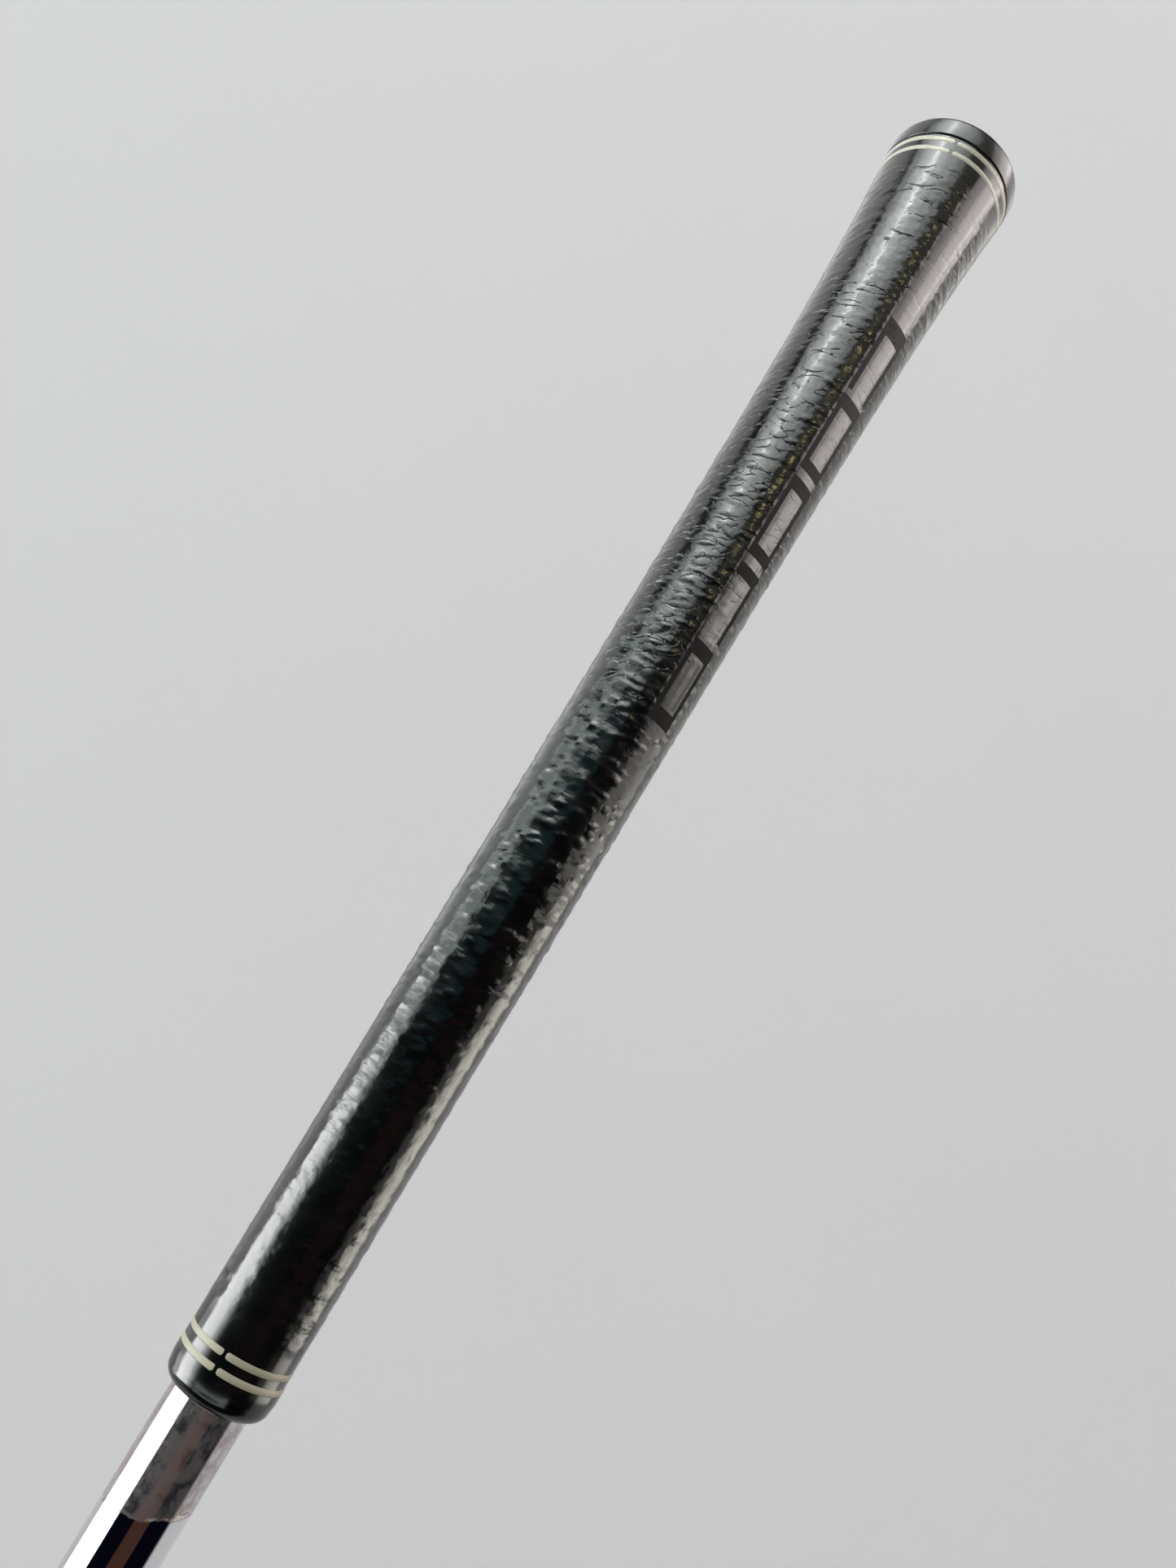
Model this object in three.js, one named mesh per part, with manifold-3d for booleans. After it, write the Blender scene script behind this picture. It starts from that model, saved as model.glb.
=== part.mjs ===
// Golf grip on the butt end of a stepless steel shaft, as an assembly.
//
// Millimetres, +Z up. The grip's axis is parallel to X, with the butt cap at +X and the cut end of the
// shaft at -X. The origin is at the middle of the bottom of the whole part's bounding box, so the
// underside of the butt cap touches Z = 0.
//
// Each piece is turned about the local Y axis, which runs from the butt face (Y = 0) towards the shaft.
// "Station" is the distance along that axis. Angles go round it from the top (+Z) towards +Y of the
// finished part. Every turned section has the same sides, so neighbouring pieces nest facet on facet.

import * as THREE from 'three';
import { mergeVertices } from 'three/addons/utils/BufferGeometryUtils.js';
import Module from 'manifold-3d';

const wasm = await Module();
wasm.setup();

// ---- driving dimensions ----

const SIDES = 24; // of every turned section; a flat lies on top, underneath and at each side
const EDGE_STEPS = 5; // flats on a rounded edge
const GRIP_LENGTH = 266.7; // 10.5 in, butt face to mouth
const SHAFT_STUB = 45; // shaft left showing past the mouth

// butt cap
const CAP_RADIUS = 14.05;
const CAP_EDGE_RADIUS = 0.9;
const CAP_RIM = 4.7; // station where the cap's side ends
const PARTING_CHAMFER = 0.25; // on both sides of the joint between cap and sleeve
const CAP_FLOOR = 5.2; // station of the seat for the shaft's end
const CAP_SKIRT_END = 10.5;
const CAP_SKIRT_RADIUS = 10.4;
const VENT_RADIUS = 1.25;

// moulded rubber sleeve: a straight taper with a flare that dies away from the butt
const SLEEVE_START = 5.0;
const MOUTH_RADIUS = 8.84;
const MOUTH_STATION = 256; // where the body has narrowed to the mouth's radius
const BODY_TAPER = 0.0091; // radius gained per mm towards the butt
const BUTT_FLARE = 2.8; // radius added at the flare's foot
const FLARE_STATION = 6;
const FLARE_LENGTH = 34.5; // over which the flare falls to about a third
const LIP_RADIUS = 8.95; // the slight bead between the last ring and the mouth
const LIP_STATION = 262.6;
const LIP_RISE = 4; // over which the body swells into the bead
const LIP_EDGE_RADIUS = 2.2;
const BODY_STEPS = 13;
const BODY_CROWDING = 1.7; // above 1, the body's stations crowd towards the flare

// steel shaft
const SHAFT_START = 5.55;
const SHAFT_BUTT_RADIUS = 7.62; // 0.600 in diameter
const SHAFT_TAPER = 0.004; // radius lost per mm towards the tip
const SHAFT_WALL = 0.6;

// double-sided tape under the sleeve, its spare end tucked into the shaft
const TAPE_THICKNESS = 0.18;
const TAPE_END = 254;
const TAPE_TUCK = 8;
const TAPE_SEAM_GAP = 1;

// painted rings, each interrupted where the two halves of the mould meet
const RING_STATIONS = { butt_outer: 6.0, butt_inner: 8.44, mouth_inner: 258.64, mouth_outer: 261.0 };
const RING_WIDTH = 1.0;
const RING_DEPTH = 0.5;
const RING_PROUD = 0.05;
const MOULD_SEAM_ANGLE = 11;
const SEAM_NICK = 0.6;

// inked label frames along one side: where each block and its window start and end
const LABEL_BLOCKS = [
  { start: 46.4, end: 64.4, windowStart: 50.2, windowEnd: 66 }, // open towards the shaft
  { start: 65.7, end: 83.8, windowStart: 68.6, windowEnd: 81.4 },
  { start: 85.6, end: 104.0, windowStart: 88.4, windowEnd: 101.5 },
  { start: 106.0, end: 121.4, windowStart: 108.6, windowEnd: 119.2 },
  { start: 123.1, end: 140.4, windowStart: 126.0, windowEnd: 137.4 },
];
const LABEL_ANGLES = { from: -51, to: -19.5 };
const WINDOW_ANGLES = { from: -46, to: -25 };
const LABEL_LINES = [
  { from: -43.5, to: -39.5 },
  { from: -33.0, to: -29.5 },
];
const LABEL_LINE_INSET = 0.8; // from the ends of the last block's window
const LABEL_DEPTH = 0.3;

const CLEARANCE = 0.06; // between turned pieces that nest
const POCKET_CLEARANCE = 0.1; // round each inlay
const CUT_PAST = 1; // how far a cutter reaches past what it cuts
const DEGREES_PER_MM = 5; // turn that one millimetre of surface spans beside the labels

// ---- finishes ----

const finish = (color, roughness, metalness = 0) =>
  new THREE.MeshStandardMaterial({ color, roughness, metalness });

const MATERIALS = {
  rubber: () => finish(0x14161a, 0.38),
  capRubber: () => finish(0x1b1c1f, 0.3),
  chrome: () => finish(0xd9dbdf, 0.08, 1),
  tape: () => finish(0xd6cba8, 0.85),
  cream: () => finish(0xe4dfc4, 0.4),
  ink: () => finish(0x352f2c, 0.7),
  paleInk: () => finish(0x8b8682, 0.6),
};

// ---- radii along the axis ----

const sleeveRadius = (station) =>
  MOUTH_RADIUS + BODY_TAPER * (MOUTH_STATION - station)
  + BUTT_FLARE * Math.exp(-(station - FLARE_STATION) / FLARE_LENGTH);

const shaftRadius = (station) => SHAFT_BUTT_RADIUS - SHAFT_TAPER * (station - SHAFT_START);

const boreRadius = (station) => shaftRadius(station) - SHAFT_WALL;

const tapeRadius = (station) => shaftRadius(station) + CLEARANCE + TAPE_THICKNESS;

// ---- solids ----

const toSolid = (geometry) => {
  const bare = geometry.index ? geometry.toNonIndexed() : geometry.clone();
  bare.deleteAttribute('normal');
  bare.deleteAttribute('uv');
  const merged = mergeVertices(bare);
  return new wasm.Manifold(new wasm.Mesh({
    numProp: 3,
    vertProperties: Float32Array.from(merged.attributes.position.array),
    triVerts: Uint32Array.from(merged.index.array),
  }));
};

const toGeometry = (solid) => {
  const mesh = solid.getMesh();
  const geometry = new THREE.BufferGeometry();
  geometry.setAttribute('position', new THREE.BufferAttribute(mesh.vertProperties, 3));
  geometry.setIndex(new THREE.BufferAttribute(mesh.triVerts, 1));
  const faceted = geometry.toNonIndexed();
  faceted.computeVertexNormals();
  return faceted;
};

// A closed profile of [radius, station] points, up the outside and back down the inside. Radii are
// given to the flats, so the corners of the section stand slightly further out.
const turned = (profile) => {
  const halfSide = Math.PI / SIDES;
  const corners = [...profile, profile[0]].map(
    ([radius, station]) => new THREE.Vector2(radius / Math.cos(halfSide), station));
  return toSolid(new THREE.LatheGeometry(corners, SIDES, halfSide));
};

// A quarter-round edge about a centre, starting at an angle measured from the radius towards the mouth.
const roundedEdge = (radius, station, edgeRadius, fromDegrees) =>
  Array.from({ length: EDGE_STEPS + 1 }, (_, i) => {
    const angle = THREE.MathUtils.degToRad(fromDegrees + (90 * i) / EDGE_STEPS);
    return [radius + edgeRadius * Math.cos(angle), station + edgeRadius * Math.sin(angle)];
  });

// A wedge of space between two angles, from one station to another.
const wedge = (angles, start, end) => {
  const reach = 2 * CAP_RADIUS;
  const corner = (degrees) => {
    const angle = THREE.MathUtils.degToRad(degrees);
    return new THREE.Vector2(reach * Math.sin(angle), -reach * Math.cos(angle));
  };
  const shape = new THREE.Shape([new THREE.Vector2(0, 0), corner(angles.from), corner(angles.to)]);
  const geometry = new THREE.ExtrudeGeometry(shape, { depth: end - start, bevelEnabled: false });
  geometry.rotateX(-Math.PI / 2);
  geometry.translate(0, start, 0);
  return toSolid(geometry);
};

// All space on one side of the mould's parting plane, kept a distance off the plane.
const mouldHalf = (side, distance) => {
  const size = 4 * CAP_RADIUS;
  const geometry = new THREE.BoxGeometry(size, 2 * GRIP_LENGTH, size);
  geometry.translate(side * (size / 2 + distance), GRIP_LENGTH / 2, 0);
  geometry.rotateY(THREE.MathUtils.degToRad(MOULD_SEAM_ANGLE));
  return toSolid(geometry);
};

// A band that follows the sleeve's surface, from some height over it to some depth under it.
const surfaceBand = (start, end, height, depth) =>
  turned([
    [sleeveRadius(start) + height, start],
    [sleeveRadius(end) + height, end],
    [sleeveRadius(end) - depth, end],
    [sleeveRadius(start) - depth, start],
  ]);

// ---- pieces ----

const pieces = {};

const endCap = () =>
  turned([
    [VENT_RADIUS, 0],
    ...roundedEdge(CAP_RADIUS - CAP_EDGE_RADIUS, CAP_EDGE_RADIUS, CAP_EDGE_RADIUS, -90),
    [CAP_RADIUS, CAP_RIM - PARTING_CHAMFER],
    [CAP_RADIUS - PARTING_CHAMFER, CAP_RIM],
    [CAP_SKIRT_RADIUS, CAP_RIM],
    [CAP_SKIRT_RADIUS, CAP_SKIRT_END],
    [tapeRadius(CAP_SKIRT_END) + POCKET_CLEARANCE, CAP_SKIRT_END],
    [tapeRadius(CAP_SKIRT_END) + POCKET_CLEARANCE, CAP_FLOOR],
    [VENT_RADIUS, CAP_FLOOR],
  ]);

const shaftTube = () => {
  const end = GRIP_LENGTH + SHAFT_STUB;
  return turned([
    [shaftRadius(SHAFT_START), SHAFT_START],
    [shaftRadius(end), end],
    [boreRadius(end), end],
    [boreRadius(SHAFT_START), SHAFT_START],
  ]);
};

const gripTape = () => {
  const rim = SHAFT_START - CLEARANCE;
  const fold = rim - TAPE_THICKNESS;
  const tuckEnd = SHAFT_START + TAPE_TUCK;
  const wrapped = turned([
    [tapeRadius(fold), fold],
    [tapeRadius(TAPE_END), TAPE_END],
    [shaftRadius(TAPE_END) + CLEARANCE, TAPE_END],
    [shaftRadius(rim) + CLEARANCE, rim],
    [boreRadius(rim) - CLEARANCE, rim],
    [boreRadius(tuckEnd) - CLEARANCE, tuckEnd],
    [boreRadius(tuckEnd) - CLEARANCE - TAPE_THICKNESS, tuckEnd],
    [boreRadius(fold) - CLEARANCE - TAPE_THICKNESS, fold],
  ]);
  const seam = new THREE.BoxGeometry(TAPE_SEAM_GAP, 2 * GRIP_LENGTH, CAP_RADIUS);
  seam.translate(0, GRIP_LENGTH / 2, -CAP_RADIUS / 2);
  return wrapped.subtract(toSolid(seam));
};

// Each inlay below is made twice from the same description: at its own size with no spare, and as the
// cutter for its pocket, larger all round by the spare and standing out of the surface.

const heightOf = (spare, inlayHeight) => (spare > 0 ? CUT_PAST : inlayHeight);

const widened = ({ from, to }, spare) => ({
  from: from - spare * DEGREES_PER_MM,
  to: to + spare * DEGREES_PER_MM,
});

const ringHalf = (station, side, spare) => {
  const start = station - RING_WIDTH / 2 - spare;
  const end = station + RING_WIDTH / 2 + spare;
  const band = surfaceBand(start, end, heightOf(spare, RING_PROUD), RING_DEPTH + spare);
  return band.intersect(mouldHalf(side, SEAM_NICK / 2 - spare));
};

const labelFrame = (block, spare) => {
  const start = block.start - spare;
  const end = block.end + spare;
  const band = surfaceBand(start, end, heightOf(spare, 0), LABEL_DEPTH + spare);
  return band
    .intersect(wedge(widened(LABEL_ANGLES, spare), start - CUT_PAST, end + CUT_PAST))
    .subtract(wedge(widened(WINDOW_ANGLES, -spare), block.windowStart + spare, block.windowEnd - spare));
};

const labelLine = (angles, spare) => {
  const block = LABEL_BLOCKS[LABEL_BLOCKS.length - 1];
  const start = block.windowStart + LABEL_LINE_INSET - spare;
  const end = block.windowEnd - LABEL_LINE_INSET + spare;
  const band = surfaceBand(start, end, heightOf(spare, 0), LABEL_DEPTH + spare);
  return band.intersect(wedge(widened(angles, spare), start - CUT_PAST, end + CUT_PAST));
};

// The sleeve before its pockets are cut. Past the tape its bore closes on the bare shaft, and at the
// butt it is counterbored for the cap's skirt.
const sleeveBlank = () => {
  const bodyStart = SLEEVE_START + PARTING_CHAMFER;
  const bodyEnd = LIP_STATION - LIP_RISE;
  const body = Array.from({ length: BODY_STEPS + 1 }, (_, i) => {
    const station = bodyStart + (bodyEnd - bodyStart) * (i / BODY_STEPS) ** BODY_CROWDING;
    return [sleeveRadius(station), station];
  });
  const lip = roundedEdge(LIP_RADIUS - LIP_EDGE_RADIUS, GRIP_LENGTH - LIP_EDGE_RADIUS, LIP_EDGE_RADIUS, 0);
  const overTape = TAPE_END + 0.5;
  const onShaft = TAPE_END + 1.5;
  const skirtPocketEnd = CAP_SKIRT_END + POCKET_CLEARANCE;
  const skirtPocketRadius = CAP_SKIRT_RADIUS + POCKET_CLEARANCE;
  return turned([
    [sleeveRadius(SLEEVE_START) - PARTING_CHAMFER, SLEEVE_START],
    ...body,
    [LIP_RADIUS, LIP_STATION],
    ...lip,
    [shaftRadius(GRIP_LENGTH) + CLEARANCE, GRIP_LENGTH],
    [shaftRadius(onShaft) + CLEARANCE, onShaft],
    [tapeRadius(overTape) + CLEARANCE, overTape],
    [tapeRadius(skirtPocketEnd) + CLEARANCE, skirtPocketEnd],
    [skirtPocketRadius, skirtPocketEnd],
    [skirtPocketRadius, SLEEVE_START],
  ]);
};

pieces.end_cap = { solid: endCap(), material: MATERIALS.capRubber() };
pieces.shaft_tube = { solid: shaftTube(), material: MATERIALS.chrome() };
pieces.grip_tape = { solid: gripTape(), material: MATERIALS.tape() };

let sleeve = sleeveBlank();

for (const [name, station] of Object.entries(RING_STATIONS)) {
  for (const [half, side] of [['left', 1], ['right', -1]]) {
    pieces[`${name}_ring_${half}`] = { solid: ringHalf(station, side, 0), material: MATERIALS.cream() };
    sleeve = sleeve.subtract(ringHalf(station, side, POCKET_CLEARANCE));
  }
}

LABEL_BLOCKS.forEach((block, i) => {
  pieces[`label_frame_${i + 1}`] = { solid: labelFrame(block, 0), material: MATERIALS.ink() };
  sleeve = sleeve.subtract(labelFrame(block, POCKET_CLEARANCE));
});

LABEL_LINES.forEach((angles, i) => {
  pieces[`label_line_${i + 1}`] = { solid: labelLine(angles, 0), material: MATERIALS.paleInk() };
  sleeve = sleeve.subtract(labelLine(angles, POCKET_CLEARANCE));
});

pieces.grip_sleeve = { solid: sleeve, material: MATERIALS.rubber() };

// ---- assembly ----

const grip = new THREE.Group();
grip.name = 'golf_grip';
grip.rotation.z = Math.PI / 2; // the local axis, butt to shaft, then runs towards -X
grip.position.set((GRIP_LENGTH + SHAFT_STUB) / 2, 0, CAP_RADIUS);

for (const [name, { solid, material }] of Object.entries(pieces)) {
  const mesh = new THREE.Mesh(toGeometry(solid), material);
  mesh.name = name;
  grip.add(mesh);
}

export default grip;
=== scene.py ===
"""Looks of the golf grip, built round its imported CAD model.

Metres, in the CAD's frame: the grip's axis is parallel to X, the butt is at +X and the underside of the
butt cap touches Z = 0. "Station" is the distance along the axis from the butt face. Angles are in
degrees round the axis, from the top (+Z) towards +Y.
"""

import math

import bpy
import numpy as np
from mathutils import Matrix, Vector


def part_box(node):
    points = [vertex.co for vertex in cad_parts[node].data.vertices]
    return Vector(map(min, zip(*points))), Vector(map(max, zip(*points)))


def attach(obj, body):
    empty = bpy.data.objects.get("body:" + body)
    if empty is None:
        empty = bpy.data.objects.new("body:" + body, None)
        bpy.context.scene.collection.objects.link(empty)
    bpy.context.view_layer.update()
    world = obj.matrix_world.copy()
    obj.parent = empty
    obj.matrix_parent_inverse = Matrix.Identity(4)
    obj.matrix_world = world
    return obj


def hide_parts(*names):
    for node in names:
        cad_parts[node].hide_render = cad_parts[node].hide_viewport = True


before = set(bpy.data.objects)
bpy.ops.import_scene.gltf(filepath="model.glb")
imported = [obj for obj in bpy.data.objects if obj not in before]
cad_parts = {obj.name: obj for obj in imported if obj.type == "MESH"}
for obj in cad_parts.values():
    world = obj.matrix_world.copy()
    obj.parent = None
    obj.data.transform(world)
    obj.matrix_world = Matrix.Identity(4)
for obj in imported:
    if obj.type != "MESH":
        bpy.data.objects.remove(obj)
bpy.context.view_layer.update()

# ---- places and sizes ----

MM = 0.001

cap_low, cap_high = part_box("end_cap")
sleeve_low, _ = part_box("grip_sleeve")
shaft_low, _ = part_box("shaft_tube")

BUTT_X = cap_high.x
AXIS_Z = (cap_low.z + cap_high.z) / 2
GRIP_LENGTH = BUTT_X - sleeve_low.x
SHAFT_END = BUTT_X - shaft_low.x

# butt cap
CAP_RADIUS = (cap_high.z - cap_low.z) / 2
CAP_EDGE_RADIUS = 0.9 * MM
CAP_RIM = 4.7 * MM
CAP_FLOOR = 5.2 * MM
CAP_SKIRT_END = 10.5 * MM
CAP_SKIRT_RADIUS = 10.4 * MM
VENT_RADIUS = 1.25 * MM
VENT_CHAMFER = 0.3 * MM
PARTING_CHAMFER = 0.25 * MM
CHAMFER_STEPS = 4

# rubber sleeve
SLEEVE_START = 5.0 * MM
MOUTH_RADIUS = 8.84 * MM
MOUTH_STATION = 256 * MM
BODY_TAPER = 0.0091
BUTT_FLARE = 2.8 * MM
FLARE_STATION = 6 * MM
FLARE_LENGTH = 34.5 * MM
LIP_RADIUS = 8.95 * MM
LIP_STATION = 262.6 * MM
LIP_RISE = 4 * MM
LIP_EDGE_RADIUS = 2.2 * MM
LIP_CROWN = 0.055 / MM  # half the curvature along the bead's top

# steel shaft and the tape round it
SHAFT_START = 5.55 * MM
SHAFT_BUTT_RADIUS = 7.62 * MM
SHAFT_TAPER = 0.004
SHAFT_WALL = 0.6 * MM
SHAFT_CHAMFER = 0.12 * MM
TAPE_THICKNESS = 0.18 * MM
TAPE_END = 254 * MM
TAPE_TUCK = 8 * MM
TAPE_SEAM_HALF_ANGLE = 3.7
BORE_STEP = (0.5 * MM, 1.5 * MM)  # past the tape's end, where the bore narrows to the shaft
CLEARANCE = 0.06 * MM
SKIRT_CLEARANCE = 0.1 * MM

# painted rings
RINGS = ("butt_outer", "butt_inner", "mouth_inner", "mouth_outer")
RING_CROWN = 0.07 * MM
RING_THICKNESS = 0.3 * MM
RING_GAP = 0.03 * MM
RING_ROWS = 9  # across a ring's crown
RING_END_ROUND = 0.5 * MM
RING_END_NARROWING = 0.8  # of the squared width, lost at the very end
RING_END_STEPS = (0.05, 0.15, 0.3, 0.5, 0.75)  # extra columns, as parts of the rounding
GROOVE_DEPTH = 0.34 * MM
SEAM_ANGLE = 11  # where the two halves of the mould meet
SEAM_NICK = 0.6 * MM

# printed labels
LABELS_START = 45 * MM
LABELS_END = 135 * MM
LABEL_ANGLES = (-51, -19.5)
WINDOW_ANGLES = (-46, -25)
LINE_ANGLES = ((-43.5, -39.5), (-33.0, -29.5))
END_BARS = ((3.8, 0), (2.9, 2.4), (2.8, 2.5), (2.6, 2.2), (2.9, 3.0))  # mm, at a block's start and end
OPEN_BLOCK_GAP = 1.6 * MM  # past the end of a block that has no end bar
WORN_BLOCK = 4
WORN_PAST_EDGE = 0.5  # degrees by which the worn block's window runs past the label
LABEL_THICKNESS = 0.24 * MM
LABEL_PROUD = 0.012 * MM
LABEL_STEP = 1.2 * MM
LABEL_STEP_ANGLE = 1.5
LINE_STEP_ANGLE = 1
POCKET_DEPTH = 0.27 * MM
EDGE_GAP = 0.02 * MM

# the sleeve's mesh
ROW_STEP = 0.37 * MM
COLUMNS = 104
COLUMNS_TURNED = 0.4  # degrees by which the even columns are turned from the far side's middle
WALL_HALF = 0.01 * MM  # half the width of a steep wall, along the grip and round it
WALL_HALF_ANGLE = 0.06
WALL_CLEAR = 0.1 * MM  # no other row comes nearer to a wall than this
WALL_CLEAR_ANGLE = 0.7  # and no other column than this
SEAM_CLEAR_ANGLE = 2.6  # and no column but a nick's own comes nearer to its middle than this

# the lens-shaped swellings of its worn texture
LENSES_START = SLEEVE_START + 7 * MM
LENSES_END = LIP_STATION - 6 * MM
LENS_PITCH_ALONG = 1.9 * MM
LENS_PITCH_ROUND = 3.4 * MM
LENS_SHIFT_ALONG = 0.4  # at most, as a part of the pitch
LENS_SHIFT_ROUND = 0.35
LENS_SLANT = 12
LENS_SLANT_SPREAD = 9
LENS_HALF_WIDTH = 0.95 * MM
LENS_HALF_LENGTH = 2.1 * MM
LENS_HEIGHT = 0.12 * MM
LENS_WIDTHS = (0.6, 1.2)  # parts of the half width, half length and height above
LENS_LENGTHS = (0.7, 1.3)
LENS_HEIGHTS = (0.15, 1.0)
LOW_LENSES = 1.5  # a higher power makes more of them low
LENS_FAR = 2.0  # a place this far out is in no lens
LENS_PARTS = (  # a part's end, the share of edges creased there, and factors of length and height
    (64 * MM, 0.24, 1.3, 0.7),
    (138.5 * MM, 0.5, 1.0, 1.0),
    (math.inf, 0.0, 0.62, 1.4),
)
CREASE_STRENGTHS = (0.6, 1.0)
CREASE_WIDTH = 0.24  # of the lens's half width
UNCREASED_RANK = 0.6  # how far a smooth lens gives way to a creased neighbour
LENS_TIP = 0.001  # the least taper, at a lens's two tips
LENS_SEED = 11
WORN_START = 190 * MM
WORN_END = 212 * MM
WORN_OFF = 0.45  # the part of their height that the swellings lose between these stations

# its waviness
WAVE_PITCH = 4.6 * MM
WAVE_HEIGHT = 0.036 * MM
WAVE_WANDER = ((0.9, 1, 1.0), (0.7, 2, 0.4), (0.5, 5, 0.0))  # strength, count in a turn, offset
WAVES_SWELL = 23 * MM  # the length along the grip in which their height changes
WAVES_FULL_START = 40 * MM  # the waves reach their full height between these stations
WAVES_FULL_END = 110 * MM
WAVES_STEADY = 0.6  # the steady part of what scales their height; the rest varies

# where both fade away
TEXTURE_FADE_IN = (9.5 * MM, 17 * MM)
TEXTURE_FADE_OUT = (252 * MM, 256.5 * MM)
PANEL_ANGLES = (-48, -18)
PANEL_END = 142 * MM
PANEL_FADE_ANGLE = 2
PANEL_FADE = 2 * MM
PANEL_SMOOTHED = 0.75

ROUND = 144  # columns round the smooth turned pieces


def sleeve_radius(station):
    """The sleeve's outside before texture: a straight taper with a flare that dies away from the butt."""
    flare = BUTT_FLARE * np.exp(-(station - FLARE_STATION) / FLARE_LENGTH)
    body = MOUTH_RADIUS + BODY_TAPER * (MOUTH_STATION - station) + flare
    rise = smooth_step(LIP_STATION - LIP_RISE, LIP_STATION, station)
    crown = LIP_CROWN * np.maximum(station - LIP_STATION, 0) ** 2
    return body + (LIP_RADIUS - body) * rise - crown


def shaft_radius(station):
    return SHAFT_BUTT_RADIUS - SHAFT_TAPER * (station - SHAFT_START)


def bore_radius(station):
    return shaft_radius(station) - SHAFT_WALL


def tape_radius(station):
    return shaft_radius(station) + CLEARANCE + TAPE_THICKNESS


def smooth_step(start, end, value):
    t = np.clip((value - start) / (end - start), 0, 1)
    return t * t * (3 - 2 * t)


def between(value, limits):
    return (value > limits[0]) & (value < limits[1])


def place(stations, radii, angles):
    """Points at these stations, radii and angles, which are arrays of one shape."""
    turn = np.radians(angles)
    points = np.stack([BUTT_X - stations, radii * np.sin(turn), AXIS_Z + radii * np.cos(turn)], axis=-1)
    return points.reshape(-1, 3)


# ---- meshes ----


def new_piece(name, points, faces, nodes, crease_angle=35):
    mesh = bpy.data.meshes.new(name)
    mesh.from_pydata(points.tolist(), [], faces)
    mesh.update()
    mesh.shade_smooth()
    mesh.set_sharp_from_angle(angle=math.radians(crease_angle))
    piece = bpy.data.objects.new(name, mesh)
    bpy.context.scene.collection.objects.link(piece)
    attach(piece, "root")
    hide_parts(*nodes)
    return piece


def loop_faces(rows, columns, full_turn):
    """Quads of a grid whose rows close into a loop. Its columns go right round or end in flat caps."""
    index = np.arange(rows * columns).reshape(rows, columns)
    here, after = index, np.roll(index, -1, axis=0)
    if full_turn:
        here_next, after_next = np.roll(here, -1, axis=1), np.roll(after, -1, axis=1)
    else:
        here_next, after_next = here[:, 1:], after[:, 1:]
        here, after = here[:, :-1], after[:, :-1]
    faces = np.stack([here, here_next, after_next, after], axis=-1).reshape(-1, 4).tolist()
    if not full_turn:
        faces += [index[:, 0].tolist(), index[::-1, -1].tolist()]
    return faces


def turned(name, profile, node, crease_angle=35):
    """A smooth turned piece. The profile is a closed loop of (radius, station), outside first."""
    radii, stations = (np.array(values)[:, None] for values in zip(*profile))
    angles = np.arange(ROUND)[None, :] * (360 / ROUND)
    grid = np.broadcast_arrays(stations, radii, angles)
    faces = loop_faces(len(profile), ROUND, True)
    return new_piece(name, place(*grid), faces, [node], crease_angle)


def rounded_edge(radius, station, edge_radius, from_degrees, steps=12):
    """A quarter-round edge about a centre, from an angle measured from the radius towards the mouth."""
    turn = np.radians(from_degrees + np.linspace(0, 90, steps + 1))
    return list(zip(radius + edge_radius * np.cos(turn), station + edge_radius * np.sin(turn)))


def end_cap():
    seat = tape_radius(CAP_SKIRT_END) + SKIRT_CLEARANCE
    corner = CAP_RADIUS - PARTING_CHAMFER
    profile = [
        (VENT_RADIUS, VENT_CHAMFER),
        (VENT_RADIUS + VENT_CHAMFER, 0),
        (CAP_RADIUS / 2, 0),
        *rounded_edge(CAP_RADIUS - CAP_EDGE_RADIUS, CAP_EDGE_RADIUS, CAP_EDGE_RADIUS, -90),
        *rounded_edge(corner, CAP_RIM - PARTING_CHAMFER, PARTING_CHAMFER, 0, CHAMFER_STEPS),
        (CAP_SKIRT_RADIUS, CAP_RIM),
        (CAP_SKIRT_RADIUS, CAP_SKIRT_END),
        (seat, CAP_SKIRT_END),
        (seat, CAP_FLOOR),
        (VENT_RADIUS, CAP_FLOOR),
    ]
    return turned("end_cap_moulded", profile, "end_cap")


def shaft():
    end = SHAFT_END
    profile = [
        (shaft_radius(SHAFT_START), SHAFT_START),
        (shaft_radius(end - SHAFT_CHAMFER), end - SHAFT_CHAMFER),
        (shaft_radius(end) - SHAFT_CHAMFER, end),
        (bore_radius(end) + SHAFT_CHAMFER, end),
        (bore_radius(end - SHAFT_CHAMFER), end - SHAFT_CHAMFER),
        (bore_radius(SHAFT_START), SHAFT_START),
    ]
    return turned("shaft_chromed", profile, "shaft_tube", crease_angle=25)


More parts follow.
